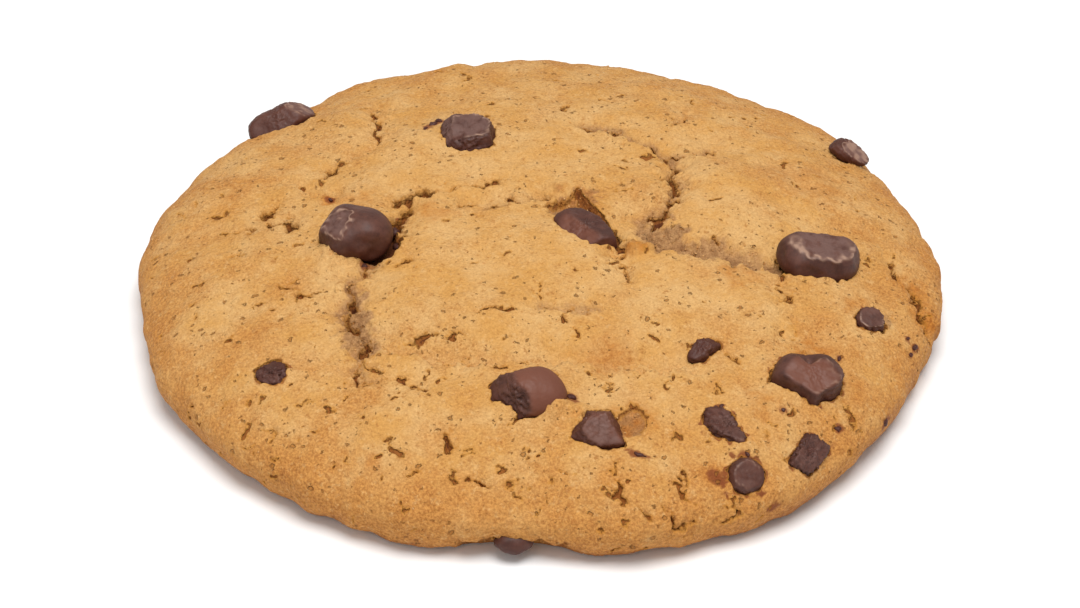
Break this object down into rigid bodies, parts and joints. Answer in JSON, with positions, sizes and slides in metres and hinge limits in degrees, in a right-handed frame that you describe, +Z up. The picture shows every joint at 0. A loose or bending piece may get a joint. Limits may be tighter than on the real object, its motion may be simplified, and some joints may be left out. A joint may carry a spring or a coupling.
{
  "type": "chocolate chip cookie",
  "caption": "Round drop cookie with a flat foot, a gently domed and cracked golden top, and dark chocolate chips set into it.",
  "frame": {"origin": "centre of the flat foot that the cookie rests on", "axes": "+Z up out of the domed top, -Y towards the near edge with the most chips, +X to the right of it"},
  "size_m": [0.095, 0.0927, 0.0163],
  "materials": {
    "baked_dough": "matte",
    "chocolate": "satin"
  },
  "bodies": {
    "root": {"dough": "baked_dough", "chip_back_left": "chocolate", "chip_top": "chocolate", "chip_back_right": "chocolate", "chip_left": "chocolate", "chip_middle": "chocolate", "chip_right": "chocolate", "chip_right_stub": "chocolate", "chip_small_middle": "chocolate", "chip_lower_right": "chocolate", "chip_near_middle": "chocolate", "chip_near_cone": "chocolate", "chip_left_sunken": "chocolate", "chip_near_long": "chocolate", "chip_near_square": "chocolate", "chip_near_round": "chocolate", "chip_under_lip": "chocolate"}
  },
  "joints": []
}
